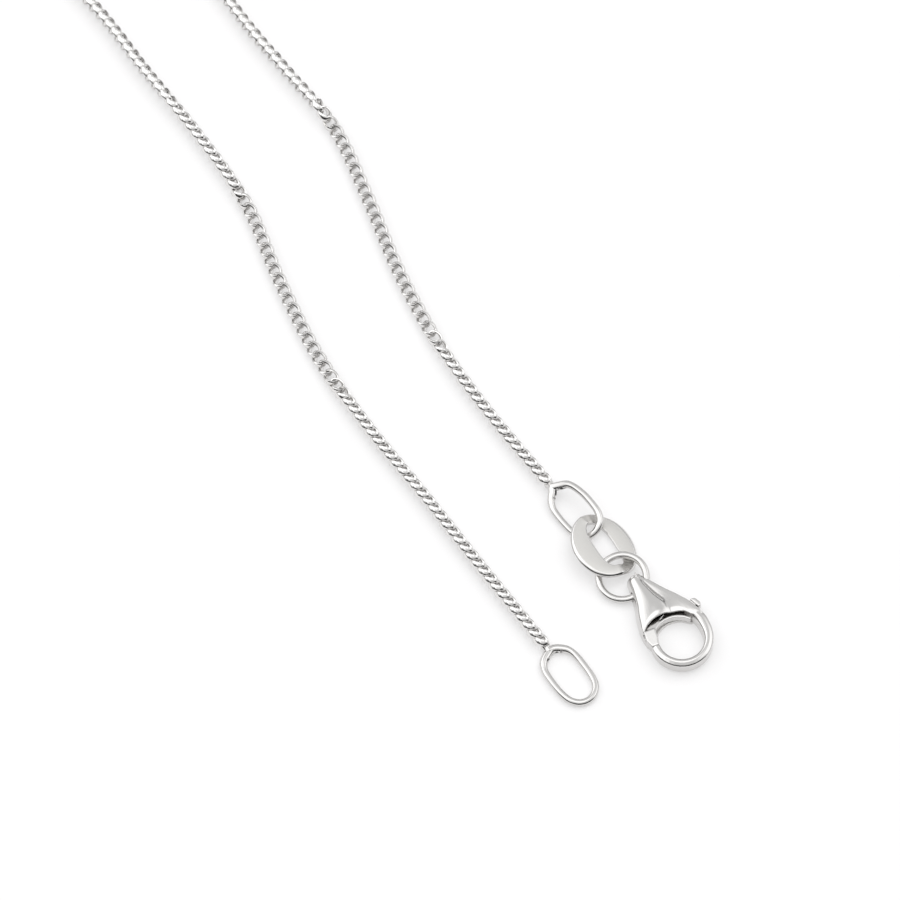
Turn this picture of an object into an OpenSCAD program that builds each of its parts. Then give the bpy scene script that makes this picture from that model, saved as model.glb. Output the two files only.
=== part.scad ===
// Fine curb chain necklace, lying open on a surface.
// Two strands run up from their end rings and close in a plain loop behind.
// The plain strand ends in an oval ring. The other strand ends in the same ring,
// then an oval tag link, a round jump ring and a trigger clasp with a sprung lever.
// All sizes are in millimetres. The surface is z = 0.

/* [Lay] */
// Width of the chain as it lies, from the side of its loop to the clasp end
lay_w = 118; // [110:1:126]
// Length of the chain as it lies, from its plain end to the back of its loop
lay_l = 168; // [160:1:176]

/* [Chain] */
// Width of the curb chain
chain_w = 1.25; // [1:0.05:1.4]
// Gap between the chain and the solder stub at each end
chain_gap = 0.05; // [0.02:0.01:0.2]

/* [End rings] */
// Thickness of the end ring's wire
ring_wire = 0.66; // [0.5:0.02:0.7]
// Width of an end ring, between wire centres
ring_w = 3.1; // [2.9:0.05:3.3]
// Length of an end ring, from its soldered apex to its far end, between wire centres
ring_l = 6; // [5.8:0.05:6.3]
// How far below the apex the straight sides of an end ring begin
ring_shoulder = 0.8; // [0.6:0.05:1]
// Length of the solder stub that joins an end ring to the chain
stub_l = 0.7; // [0.6:0.05:1]
// Thickness of the solder stub
stub_d = 0.8; // [0.7:0.05:0.9]
// Roll of the clasp side's end ring, which leans on the tag link
ring_roll = 22; // [18:1:24]

/* [Tag link] */
// Length of the tag link
tag_l = 6.9; // [6.7:0.05:7.2]
// Width of the tag link
tag_w = 5.15; // [4.9:0.05:5.4]
// Thickness of the tag link
tag_t = 0.5; // [0.4:0.05:0.6]
// Length of the tag link's hole
tag_hole_l = 4.9; // [4.7:0.05:5]
// Width of the tag link's hole
tag_hole_w = 2; // [1.8:0.05:2.1]
// Height of the underside of the tag link's raised arm
tag_raise = 1.15; // [1.1:0.05:1.3]
// Height of the underside of the tag link's lower arm
tag_low = 0.05; // [0:0.01:0.1]
// Slack of the end ring inside the tag link's hole
tag_slack = 0.62; // [0.4:0.02:0.8]

/* [Jump ring] */
// Outer diameter of the jump ring
jump_d = 4.92; // [4.8:0.02:5]
// Thickness of the jump ring's wire
jump_wire = 0.66; // [0.5:0.02:0.7]
// Tilt of the jump ring, which leans on the tag link
jump_tilt = 8; // [6:1:10]
// Slack of the jump ring inside the tag link's hole
jump_slack = 0.84; // [0.7:0.02:1]
// Height of the jump ring's lowest point over the surface
jump_lift = 0.12; // [0.05:0.01:0.15]

/* [Clasp] */
// Length of the clasp from its tip to the middle of the hook's opening
clasp_reach = 7.4; // [7.3:0.05:7.7]
// Width of the clasp's body at its widest
dome_w = 5.7; // [5.5:0.05:5.9]
// Height of the clasp's domed body
dome_h = 1.9; // [1.8:0.05:2.1]
// Wall of the hollow body
shell = 0.25; // [0.2:0.01:0.3]
// Distance from the clasp's tip to the jump ring's wire
eye_back = 1.37; // [1.3:0.01:1.45]
// Space round the jump ring in the clasp's eye
eye_gap = 0.12; // [0.08:0.01:0.15]
// Width of the opening inside the hook
hook_hole_d = 3.9; // [3.7:0.05:4]
// Width of the hook's bar, seen from above
hook_bar = 0.86; // [0.75:0.01:1]
// Height of the hook's bar
hook_h = 1.55; // [1.4:0.05:1.7]

/* [Lever] */
// Thickness of the lever
lever_t = 0.8; // [0.7:0.05:0.85]
// Height of the lever's gate
gate_h = 1.2; // [1:0.05:1.3]
// How far the lever turns, in degrees
lever_travel = 20; // [15:1:22]
// Diameter of the hidden pin that the lever turns on
pin_d = 0.5; // [0.4:0.02:0.6]
// Running clearance of the lever round its pin
pin_run = 0.04; // [0.02:0.01:0.08]
// Clearance of the pin in the body
pin_seat = 0.02; // [0.01:0.01:0.03]
// Clearance between the gate and the hook's end, and round the moving lever
lever_gap = 0.08; // [0.06:0.01:0.1]
// Diameter of the thumb knob
knob_d = 1.05; // [0.9:0.05:1.2]

/* [Hidden] */
wire_sides = 16;
tube_sides = 8;
round_n = 96;
bore_n = 48;
half_turn = 180;
full_turn = 360;
// How far a cutter reaches past what it cuts
past = 1;

// The way of the chain: from the plain end, round the loop behind, to the clasp end,
// as it runs in a lay of the drawn width and length
drawn_w = 118;
drawn_l = 168;
DRAWN = [[51.6, -81.5], [46.0, -73.8], [41.0, -66.7], [35.9, -59.7], [31.3, -52.4],
         [27.7, -44.5], [24.6, -36.5], [20.0, -29.1], [14.9, -22.1], [9.9, -15.0],
         [-0.7, -2.7], [-9.1, 3.6], [-19.9, 9.4], [-31.2, 14.8], [-42.2, 20.5],
         [-52.4, 27.9], [-60.5, 36.8], [-65.3, 47.6], [-65.9, 59.4], [-61.8, 70.8],
         [-52.5, 80.8], [-40.0, 86.4], [-27.9, 86.7], [-16.9, 82.3], [-8.2, 74.4],
         [-2.4, 63.8], [1.4, 51.7], [3.2, 39.5], [4.8, 27.1], [6.8, 15.0],
         [10.0, 5.0], [22.8, -15.0], [27.6, -21.7], [32.5, -28.3], [35.7, -35.9],
         [38.6, -43.7], [42.2, -51.1], [46.6, -58.0], [52.0, -65.3]];
ROUTE = [for (p = DRAWN) [p.x * lay_w / drawn_w, p.y * lay_l / drawn_l]];
route_steps = 2;
// The station of the chain where its two halves meet
meet = 40;
// Height of the chain's underside over the surface
chain_lift = 0.01;

// Directions on the surface, in degrees from +X
plain_ring_turn = -55;
clasp_ring_turn = -49;
tag_turn = -60;
clasp_turn = -57.4;
jump_rise_turn = 50;

// How far each fitting's middle lies to the side of the one before
tag_aside = -0.42;
jump_aside = -0.18;
clasp_aside = 0.91;

// Radii of an end ring's bends: at its apex, at its shoulders, and its far end as a share
apex_bend = 0.35;
shoulder_bend = 0.9;
far_share = 0.98;
bend_steps = 8;

// Where the raised arm of the tag link ends and the lower one begins,
// as angles round the link from the end that holds the jump ring
TAG_RISE = [-3, 40, 140, 190];
tag_edge = 0.07;
tag_steps = 72;
tag_rim_power = 2.1;
tag_hole_power = 2.8;

// Body of the clasp, from the tip to the hook. The first column is a share of clasp_reach,
// the next four are shares of dome_w, measured from the clasp's middle line,
// and the last is a share of dome_h.
// along, left foot, right foot, left ridge, right ridge, top
DOME = [[0.00, -0.08, 0.08, -0.05, 0.02, 0.60],
        [0.03, -0.12, 0.13, -0.09, 0.03, 0.72],
        [0.16, -0.20, 0.22, -0.16, 0.05, 0.84],
        [0.32, -0.29, 0.32, -0.245, 0.10, 0.93],
        [0.49, -0.385, 0.425, -0.345, 0.19, 1.00],
        [0.63, -0.455, 0.51, -0.42, 0.28, 1.00],
        [0.74, -0.48, 0.555, -0.44, 0.34, 0.97],
        [0.84, -0.48, 0.57, -0.44, 0.38, 0.92]];
// Heights in the body's section, as shares of the height there, and the crown's middle
ledge = 0.76;
brow = 0.94;
waist = 0.5;
crown = 0.4;
// Least lean of a side wall, in mm
side_lean = 0.03;
step_w = 0.12;
step_h = 0.05;
hollow_from = 0.24;
// How much of the knob's size its slot reaches in towards the pivot
slot_share = 1.6;

// Bar of the hook, by the angle round its opening. The shares are of the opening's radius
// and of hook_bar.
// angle, inner radius, width
HOOK = [[-121, 1.02, 0.90], [-91, 1.00, 1.00], [0, 1.00, 1.00], [45, 1.00, 1.02],
        [70, 1.01, 1.10], [90, 1.04, 1.25], [110, 1.12, 1.36], [122, 1.20, 1.25]];

// Edges of the body round the opening, as shares of its radius
lip_share = 1.4;
floor_share = 1.14;
left_share = 1.4;
front_share = 0.6;
reach_share = 2;
all_share = 3;

// Section of the hook's bar: outward as a share of its width, up as a share of half its height
BAR = [[0.2, -1], [0.8, -1], [1, -0.7], [1, 0.5], [0.86, 0.86], [0.5, 1], [0.14, 0.86], [0, 0.5],
       [0, -0.7]];
hook_steps = 6;

// Outline of the lever's arm and gate, as shares of the opening's radius
ARM = [[-0.8, -1.36], [-1.13, -1.27], [-1.75, -1], [-2.2, -0.6], [-1.7, 0.1], [-1.3, -0.35],
       [-1.1, -0.72], [-0.6, -0.85]];
gate_share = 0.98;
gate_inner = 0.08;
gate_outer = 0.95;
gate_skew = 2;

hook_r = hook_hole_d / 2;
bar_mid_r = hook_r + hook_bar / 2;
jump_r = (jump_d - jump_wire) / 2;

// The lever's pivot and knob, and the gate's end, seen from the middle of the opening
pivot = [-2.05, -0.44] * hook_r;
knob = [-1.25, 1.6] * hook_r;
gate_angle = -104;
gate_end = bar_mid_r * [cos(gate_angle), sin(gate_angle)];
gate_r = norm(gate_end - pivot);
knob_r = norm(knob - pivot);
knob_angle = atan2(knob.y - pivot.y, knob.x - pivot.x);
lever_z = shell + lever_gap;
boss_wall = 0.4;
arm_w = 0.6;
dome_at_pin = dome_h * 0.97;
pin_bury = shell * 0.7;

// Places of the fittings, each from the one before it
function way(turn) = [cos(turn), sin(turn)];
function aside(turn) = [-sin(turn), cos(turn)];
route_last = len(ROUTE) - 1;
plain_way = (ROUTE[0] - ROUTE[1]) / norm(ROUTE[0] - ROUTE[1]);
clasp_way = (ROUTE[route_last] - ROUTE[route_last - 1])
    / norm(ROUTE[route_last] - ROUTE[route_last - 1]);
plain_apex = ROUTE[0] + plain_way * stub_l;
clasp_apex = ROUTE[route_last] + clasp_way * stub_l;
tag_at = clasp_apex + tag_aside * aside(clasp_ring_turn)
    + (ring_l + tag_hole_l / 2 - ring_wire / 2 - tag_slack) * way(clasp_ring_turn);
jump_at = tag_at + jump_aside * aside(tag_turn)
    + (tag_hole_l / 2 - jump_wire / 2 - jump_slack + jump_r) * way(tag_turn);
clasp_at = jump_at + clasp_aside * aside(clasp_turn)
    + (jump_r + clasp_reach - eye_back) * way(clasp_turn);
jump_z = jump_wire / 2 + jump_r * sin(jump_tilt) + jump_lift;

// Curve through the points p, with n steps from each point to the next
function curve(p, n) = [for (i = [0:len(p) - 2]) for (j = [0:n - 1]) curve_at(p, i, j / n),
                        p[len(p) - 1]];
function curve_at(p, i, t) =
    let (b = p[i], c = p[i + 1],
         a = i == 0 ? 2 * b - c : p[i - 1],
         d = i + 2 == len(p) ? 2 * c - b : p[i + 2])
    (2 * b + (c - a) * t + (2 * a - 5 * b + 4 * c - d) * t * t
        + (3 * b - a - 3 * c + d) * t * t * t) / 2;

// Closed outline with round corners. Each corner is [x, y, radius], with n steps round it
function rounded(corners, n) =
    let (m = len(corners))
    [for (i = [0:m - 1])
        let (p = corners[i], q = corners[(i + m - 1) % m], s = corners[(i + 1) % m])
        each arc_at([p.x, p.y], unit([q.x - p.x, q.y - p.y]), unit([s.x - p.x, s.y - p.y]), p.z, n)];
function unit(v) = v / norm(v);
function arc_at(p, a, b, r, n) =
    let (half = acos(a * b) / 2,
         mid = p + unit(a + b) * r / sin(half),
         from = (p + a * r / tan(half) - mid) / r,
         to = (p + b * r / tan(half) - mid) / r,
         w = half_turn - 2 * half)
    [for (k = [0:n]) mid + r * (sin(w * (1 - k / n)) * from + sin(w * k / n) * to) / sin(w)];

// Oval outline of n points: a higher power makes it squarer
function oval(l, w, power, n) =
    [for (k = [0:n - 1]) let (c = cos(full_turn * k / n), s = sin(full_turn * k / n))
        [l / 2 * sign(c) * pow(abs(c), 2 / power), w / 2 * sign(s) * pow(abs(s), 2 / power)]];

function smooth(x) = let (t = max(0, min(1, x))) t * t * (3 - 2 * t);

// Sideways unit vector at point i of a path
function side_at(path, i, closed) =
    let (m = len(path),
         a = path[closed ? (i + m - 1) % m : max(i - 1, 0)],
         b = path[closed ? (i + 1) % m : min(i + 1, m - 1)])
    unit([b.y - a.y, a.x - b.x]);

// Section of a round wire, as [sideways, up] for a radius of 1
function round_section(sides) =
    [for (k = [0:sides - 1]) let (a = full_turn * (k + 0.5) / sides) [cos(a), sin(a)]];

// Stations of a wire of radius r along a flat path at height z
function wire(path, r, z, sides, closed) =
    [for (i = [0:len(path) - 1]) let (n = side_at(path, i, closed))
        [for (s = round_section(sides))
            [path[i].x + n.x * r * s.x, path[i].y + n.y * r * s.x, z + r * s.y]]];

// Solid through stations, each a list of as many points
module skin(rows, closed = false) {
    n = len(rows);
    m = len(rows[0]);
    sides = [for (i = [0:(closed ? n - 1 : n - 2)]) for (j = [0:m - 1])
        let (a = i * m + j, b = i * m + (j + 1) % m,
             c = ((i + 1) % n) * m + (j + 1) % m, d = ((i + 1) % n) * m + j)
        each [[a, b, c], [a, c, d]]];
    ends = closed ? [] : [[for (j = [m - 1:-1:0]) j], [for (j = [0:m - 1]) (n - 1) * m + j]];
    polyhedron(points = [for (row = rows) each row], faces = concat(sides, ends), convexity = 8);
}

// Puts what it holds at a place on the surface, turned about +Z
module at(place, turn) {
    translate([place.x, place.y, 0]) rotate([0, 0, turn]) children();
}

// Stations of the whole chain, as a plain tube of the chain's width
function chain_rows() =
    wire(curve(ROUTE, route_steps), chain_w / 2, chain_w / 2 + chain_lift, tube_sides, false);

// Half a gap along the chain where its two halves meet
function meet_back() =
    let (path = curve(ROUTE, route_steps), step = unit(path[meet + 1] - path[meet - 1]) * chain_gap / 2)
    [step.x, step.y, 0];

function moved(row, by) = [for (p = row) p + by];

module chain_plain_side() {
    rows = chain_rows();
    color([0.78, 0.77, 0.76])
        skin([for (i = [0:meet]) i == meet ? moved(rows[i], -meet_back()) : rows[i]]);
}

module chain_clasp_side() {
    rows = chain_rows();
    color([0.78, 0.77, 0.76])
        skin([for (i = [meet:len(rows) - 1]) i == meet ? moved(rows[i], meet_back()) : rows[i]]);
}

// Oval end ring with its apex at the origin and its far end along +X, rolled to one side
module end_ring(roll) {
    side = ring_w / 2;
    far_bend = side * far_share;
    outline = rounded([[0, 0, apex_bend], [ring_shoulder, -side, shoulder_bend],
                       [ring_l, -side, far_bend], [ring_l, side, far_bend],
                       [ring_shoulder, side, shoulder_bend]], bend_steps);
    translate([0, 0, ring_wire / 2 + side * sin(roll)]) rotate([roll, 0, 0])
        skin(wire(outline, ring_wire / 2, 0, wire_sides, true), closed = true);
}

// Solder stub from an end ring's apex back to the chain's end
module stub(apex, end, apex_z) {
    back = unit(end - apex);
    hull() {
        translate([apex.x, apex.y, apex_z]) sphere(d = stub_d, $fn = wire_sides);
        translate([end.x, end.y, chain_w / 2 + chain_lift])
            rotate([0, 0, atan2(back.y, back.x)]) translate([-chain_gap, 0, 0])
                rotate([0, -90, 0]) cylinder(d = stub_d, h = stub_d / 8, $fn = wire_sides);
    }
}

module plain_end_ring() {
    color([0.8, 0.79, 0.78]) {
        at(plain_apex, plain_ring_turn) end_ring(0);
        stub(plain_apex, ROUTE[0], stub_d / 2);
    }
}

module clasp_end_ring() {
    color([0.8, 0.79, 0.78]) {
        at(clasp_apex, clasp_ring_turn) end_ring(ring_roll);
        stub(clasp_apex, ROUTE[route_last], ring_wire / 2 + ring_w / 2 * sin(ring_roll));
    }
}

// Flat oval link with one arm raised over the rings that pass under it
module tag_link() {
    hole = oval(tag_hole_l, tag_hole_w, tag_hole_power, tag_steps);
    rim = oval(tag_l, tag_w, tag_rim_power, tag_steps);
    up = tag_t / 2;
    section = [[tag_edge, -up], [1 - tag_edge, -up], [1, tag_edge - up], [1, up - tag_edge],
               [1 - tag_edge, up], [tag_edge, up], [0, up - tag_edge], [0, tag_edge - up]];
    rows = [for (i = [0:tag_steps - 1])
        let (turn = full_turn * i / tag_steps,
             a = turn >= half_turn * 1.5 ? turn - full_turn : turn,
             rise = a < half_turn / 2 ? smooth((TAG_RISE[1] - a) / (TAG_RISE[1] - TAG_RISE[0]))
                                      : smooth((a - TAG_RISE[2]) / (TAG_RISE[3] - TAG_RISE[2])),
             z = up + tag_low + (tag_raise - tag_low) * rise, wide = rim[i] - hole[i])
        [for (s = section) [hole[i].x + wide.x * s.x, hole[i].y + wide.y * s.x, z + s.y]]];
    color([0.72, 0.71, 0.7]) at(tag_at, tag_turn) skin(rows, closed = true);
}

// Round wire ring, with extra thickness where a space is cut for it
module jump_ring_shape(extra = 0) {
    translate([jump_at.x, jump_at.y, jump_z]) rotate([0, 0, jump_rise_turn]) rotate([0, -jump_tilt, 0])
        rotate_extrude($fn = round_n)
            translate([jump_r, 0]) circle(d = jump_wire + 2 * extra, $fn = bore_n);
}

module jump_ring() {
    color([0.82, 0.81, 0.8]) jump_ring_shape();
}

// Stations of the clasp's body, set in by a wall, from a share of its length on
function dome_rows(wall, from) =
    [for (s = curve(DOME, 2)) if (s[0] >= from)
        let (x = (s[0] - 1) * clasp_reach, l = s[1] * dome_w + wall, r = s[2] * dome_w - wall,
             rl = max(s[3] * dome_w, l + side_lean), rr = min(s[4] * dome_w, r - side_lean),
             top = s[5] * dome_h - wall)
        [[x, l, wall], [x, l, top * waist], [x, rl, top * brow],
         [x, rl * (1 - crown) + rr * crown, top], [x, rr, top * brow],
         [x, rr + step_w, top * ledge + step_h], [x, r, top * ledge], [x, r, wall]]];

// Bar of the hook, with rounded upper and lower edges
module hook() {
    up = hook_h / 2;
    rows = [for (s = curve(HOOK, hook_steps)) let (inner = s[1] * hook_r, bar = s[2] * hook_bar)
        [for (q = BAR) let (r = inner + bar * q.x) [r * cos(s[0]), r * sin(s[0]), up + up * q.y]]];
    skin(rows);
}

// Everything in front of the body's lip, down to a height
module opening(share, z, h) {
    translate([0, 0, z]) {
        cylinder(r = share * hook_r, h = h, $fn = round_n);
        translate([-left_share, -reach_share, 0] * hook_r)
            cube([all_share * hook_r, (reach_share - front_share) * hook_r, h]);
    }
}

// Slot in the body's side that the knob and its arm move in
module knob_slot() {
    reach = asin((knob_d / 2 + lever_gap) / knob_r);
    from = knob_r - slot_share * knob_d;
    translate([pivot.x, pivot.y, lever_z - lever_gap]) rotate([0, 0, knob_angle - reach])
        rotate_extrude(angle = lever_travel + 2 * reach, $fn = round_n)
            translate([from, 0]) square([knob_r + knob_d - from, lever_t + 2 * lever_gap]);
}

// Room in front of the gate's end, which swings there round the pivot
module gate_room() {
    intersection() {
        translate([pivot.x, pivot.y, -past])
            cylinder(r = gate_r + lever_gap, h = hook_h + 2 * past, $fn = round_n);
        translate([-reach_share * hook_r, -reach_share * hook_r, -past])
            cube([all_share * hook_r, (reach_share - front_share) * hook_r, hook_h + 2 * past]);
    }
}

module clasp_body() {
    color([0.83, 0.82, 0.81]) difference() {
        at(clasp_at, clasp_turn) difference() {
            union() {
                difference() {
                    skin(dome_rows(0, 0));
                    skin(dome_rows(shell, hollow_from));
                    opening(lip_share, shell, dome_h);
                    opening(floor_share, -past, dome_h);
                }
                difference() {
                    hook();
                    gate_room();
                }
            }
            knob_slot();
            translate([pivot.x, pivot.y, shell - pin_bury])
                cylinder(d = pin_d + 2 * pin_seat, h = dome_at_pin - 2 * (shell - pin_bury),
                         $fn = bore_n);
        }
        jump_ring_shape(eye_gap);
    }
}

// Outline of the lever: gate, arm, boss and trigger
module lever_outline() {
    intersection() {
        translate(pivot) circle(r = gate_r, $fn = round_n);
        polygon([(hook_r + hook_bar * gate_inner) * way(gate_angle + gate_skew),
                 (hook_r + hook_bar * gate_outer) * way(gate_angle - gate_skew),
                 each ARM * hook_r]);
    }
    translate(pivot) circle(r = pin_d / 2 + boss_wall, $fn = bore_n);
    translate(pivot) rotate(knob_angle) translate([0, -arm_w / 2]) square([knob_r, arm_w]);
    translate(knob) circle(d = knob_d, $fn = bore_n);
}

// Outline of the gate alone, which is thicker than the rest of the lever
module gate_outline() {
    intersection() {
        lever_outline();
        translate([-gate_share, -reach_share] * hook_r)
            square([gate_share, reach_share - front_share] * hook_r);
    }
}

module clasp_lever() {
    color([0.76, 0.75, 0.74]) at(clasp_at, clasp_turn) difference() {
        union() {
            translate([0, 0, lever_z]) linear_extrude(lever_t) lever_outline();
            translate([0, 0, (hook_h - gate_h) / 2]) linear_extrude(gate_h) gate_outline();
        }
        translate([pivot.x, pivot.y, -past])
            cylinder(d = pin_d + 2 * pin_run, h = dome_h + 2 * past, $fn = bore_n);
    }
}

module lever_pin() {
    seat = shell - pin_bury + pin_seat;
    color([0.7, 0.69, 0.68]) at(clasp_at, clasp_turn)
        translate([pivot.x, pivot.y, seat])
            cylinder(d = pin_d, h = dome_at_pin - 2 * seat, $fn = bore_n);
}

chain_plain_side();
chain_clasp_side();
plain_end_ring();
clasp_end_ring();
tag_link();
jump_ring();
clasp_body();
clasp_lever();
lever_pin();
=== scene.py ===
import math
import random

import bmesh
import bpy
import numpy as np
from bpy.props import FloatProperty, FloatVectorProperty, IntProperty, PointerProperty
from mathutils import Matrix, Vector, noise


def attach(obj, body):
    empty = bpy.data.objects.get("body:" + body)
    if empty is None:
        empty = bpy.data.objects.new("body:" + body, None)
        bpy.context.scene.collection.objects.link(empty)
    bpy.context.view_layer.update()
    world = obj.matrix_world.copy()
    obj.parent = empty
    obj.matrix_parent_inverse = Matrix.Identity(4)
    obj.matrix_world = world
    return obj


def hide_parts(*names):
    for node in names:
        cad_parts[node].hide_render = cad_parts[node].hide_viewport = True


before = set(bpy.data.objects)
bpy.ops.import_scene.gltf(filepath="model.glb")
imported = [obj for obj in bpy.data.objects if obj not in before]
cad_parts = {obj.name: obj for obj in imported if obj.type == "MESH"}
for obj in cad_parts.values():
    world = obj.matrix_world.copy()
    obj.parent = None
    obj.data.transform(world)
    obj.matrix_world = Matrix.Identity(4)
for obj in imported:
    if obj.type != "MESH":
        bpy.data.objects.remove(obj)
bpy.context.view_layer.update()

bl_info = {
    "name": "Curb chain necklace",
    "version": (1, 0, 0),
    "blender": (4, 5, 0),
    "location": "View3D > Sidebar > Necklace",
    "description": "Builds the links, rings, tag link and trigger clasp of a fine curb chain necklace",
    "category": "Add Mesh",
}

PER_METRE = 1000.0
UP = Vector((0.0, 0.0, 1.0))

# The way of the chain on the surface, from the plain end round to the clasp end, as in the CAD
ROUTE = [(0.0516, -0.0815), (0.0460, -0.0738), (0.0410, -0.0667), (0.0359, -0.0597),
         (0.0313, -0.0524), (0.0277, -0.0445), (0.0246, -0.0365), (0.0200, -0.0291),
         (0.0149, -0.0221), (0.0099, -0.0150), (-0.0007, -0.0027), (-0.0091, 0.0036),
         (-0.0199, 0.0094), (-0.0312, 0.0148), (-0.0422, 0.0205), (-0.0524, 0.0279),
         (-0.0605, 0.0368), (-0.0653, 0.0476), (-0.0659, 0.0594), (-0.0618, 0.0708),
         (-0.0525, 0.0808), (-0.0400, 0.0864), (-0.0279, 0.0867), (-0.0169, 0.0823),
         (-0.0082, 0.0744), (-0.0024, 0.0638), (0.0014, 0.0517), (0.0032, 0.0395),
         (0.0048, 0.0271), (0.0068, 0.0150), (0.0100, 0.0050), (0.0228, -0.0150),
         (0.0276, -0.0217), (0.0325, -0.0283), (0.0357, -0.0359), (0.0386, -0.0437),
         (0.0422, -0.0511), (0.0466, -0.0580), (0.0520, -0.0653)]
ROUTE_STEPS = 10
ROUTE_MEET = 20

# How the links lie, by the distance along the chain in metres: lean to the side in degrees,
# distance from one link to the next as a share of a taut chain's, and tilt along the chain
LAY = [(0.0, 41, 0.85, 14), (0.0300, 41, 0.86, 14), (0.0340, -30, 0.98, 0),
       (0.0400, -34, 1.0, 0), (0.0525, -34, 1.0, 0), (0.0550, 41, 0.92, 10),
       (0.0640, 44, 0.91, 6), (0.0675, 70, 0.91, -18), (0.0800, 72, 0.92, -20),
       (0.1100, 30, 0.95, 0), (0.1500, 0, 0.97, 0), (0.3000, 0, 0.97, 0),
       (0.3400, -40, 0.95, 10), (0.3550, -74, 0.93, 20), (0.3765, -74, 0.93, 20),
       (0.3800, 32, 0.99, 0), (0.3850, 36, 1.0, 0), (0.4020, 34, 1.0, 0),
       (0.4060, -41, 0.93, -14), (0.4180, -42, 0.91, -14), (0.4214, -42, 0.91, -14)]

# Places of the fittings, and their directions on the surface in degrees, as in the CAD
PLAIN_APEX = Vector((0.0520117, -0.0820661, 0.0))
CLASP_APEX = Vector((0.0524163, -0.0658628, 0.0))
TAG_AT = Vector((0.0570198, -0.0717986, 0.0))
JUMP_AT = Vector((0.0585689, -0.0748418, 0.000746))
CLASP_AT = Vector((0.0637319, -0.0812259, 0.0))
PLAIN_RING_TURN = -55.0
CLASP_RING_TURN = -49.0
TAG_TURN = -60.0
CLASP_TURN = -57.4
JUMP_RISE_TURN = 50.0

# Centre lines of the end rings, from the soldered apex: along and across, in mm
PLAIN_RING = [(0.00, 0.00), (0.20, -0.45), (0.50, -0.92), (0.95, -1.27), (1.64, -1.48),
              (2.86, -1.55), (3.91, -1.51), (4.75, -1.35), (5.30, -1.06), (5.66, -0.68),
              (5.86, -0.15), (5.83, 0.45), (5.55, 1.00), (5.13, 1.38), (4.60, 1.60),
              (3.84, 1.72), (2.90, 1.75), (2.00, 1.75), (1.25, 1.66), (0.72, 1.42), (0.36, 1.06),
              (0.08, 0.70), (-0.06, 0.33)]
CLASP_RING = [(0.00, 0.00), (0.37, -0.42), (0.74, -0.90), (1.10, -1.18), (1.67, -1.42),
              (2.64, -1.56), (3.48, -1.60), (4.10, -1.60), (4.80, -1.50), (5.35, -1.22),
              (5.72, -0.80), (5.84, -0.20), (5.72, 0.45), (5.40, 0.95), (4.75, 1.30),
              (3.85, 1.45), (2.87, 1.52), (2.13, 1.48), (1.32, 1.35), (0.76, 1.08), (0.34, 0.50)]

# Planes that the links are cut with: angle round the chain in degrees, distance as a share
# of half the chain's width
LINK_CUTS = [(0, 0.98), (180, 0.98), (90, 0.85), (270, 0.85)]

# How square the section of a link's wire is: 1 is an ellipse, and less is squarer. Then the
# seed of the links' small rolls.
WIRE_POWER = 0.8
SEED = 7

# Sides of the wire of the end rings, of their solder and of the jump ring
RING_SIDES = 24
SOLDER_SIDES = 20
JUMP_SIDES = 28

# Distances from the apex between which the wire's swell at the solder fades, in metres
SWELL_FADES = (0.0002, 0.0013)

# Dark marks inside the soldered ends: the distances between which they fade, in metres, how
# much the metal there faces the ring's middle, the noise's levels and its scale per metre
MARK_FADES = (0.0009, 0.0013)
MARK_FACES = (0.35, 0.6)
MARK_LEVELS = (-0.02, 0.08)
MARK_SCALE = 3200

# Radius of the solder from an end ring to the chain, in mm
SOLDER = [0.30, 0.38, 0.42, 0.42, 0.41, 0.40, 0.39, 0.39, 0.40, 0.41, 0.42, 0.41, 0.38, 0.30, 0.14]

# Section of the tag link: across as a share from the hole to the rim, and up as a share of
# half its thickness. The faces after the rows of TAG_SATIN are satin.
TAG_SECTION = [(0.03, -1.0), (0.92, -1.0), (0.98, -0.75), (1.0, -0.4), (1.0, 0.05), (0.985, 0.25),
               (0.955, 0.5), (0.90, 0.78), (0.86, 0.93), (0.83, 0.98), (0.81, 1.0), (0.06, 1.0),
               (0.025, 0.97), (0.0, 0.85), (0.0, -0.85)]
TAG_SATIN = (0, 10)

# Turns round the tag link, in degrees, over which it comes down from the raised arm and goes
# up again, the power that bends both ways, and how much wider the lower arm is
TAG_DOWN = (-3, 40)
TAG_UP = (140, 190)
TAG_BEND = 1.25
TAG_LOWER_ARM = 1.12

# How square the tag link's hole and rim are: 2 is an ellipse, and more is squarer
TAG_HOLE_POWER = 2.8
TAG_RIM_POWER = 2.1

# Body of the clasp, from its tip to the hook: along, left foot, right foot, left ridge,
# right ridge, top, inner and outer edge of the strip beside the crown, and depth of the groove
# between them. The first is a share of the reach, the next four are shares of the width, the
# top is one of the height, and the others are shares of the top's height.
DOME = [(0.00, -0.155, 0.08, -0.125, 0.03, 0.70, 0.97, 0.95, 0.00),
        (0.03, -0.165, 0.095, -0.135, 0.035, 0.77, 0.95, 0.92, 0.00),
        (0.16, -0.215, 0.17, -0.18, 0.05, 0.86, 0.86, 0.87, 0.03),
        (0.32, -0.29, 0.265, -0.25, 0.09, 0.94, 0.80, 0.84, 0.035),
        (0.45, -0.37, 0.355, -0.325, 0.14, 0.99, 0.80, 0.84, 0.02),
        (0.53, -0.41, 0.405, -0.37, 0.14, 1.00, 0.82, 0.85, 0.00),
        (0.63, -0.455, 0.465, -0.42, 0.12, 1.00, 0.83, 0.86, 0.00),
        (0.74, -0.48, 0.51, -0.44, 0.08, 0.97, 0.84, 0.88, 0.00),
        (0.84, -0.48, 0.535, -0.44, 0.00, 0.92, 0.84, 0.90, 0.00)]
FLOOR_POINTS = 10

# Rounded tip of the body: how far back in mm, and the share that is left of the first section
NOSE = [(0.20, 0.78), (0.17, 0.90), (0.09, 0.98)]

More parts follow.
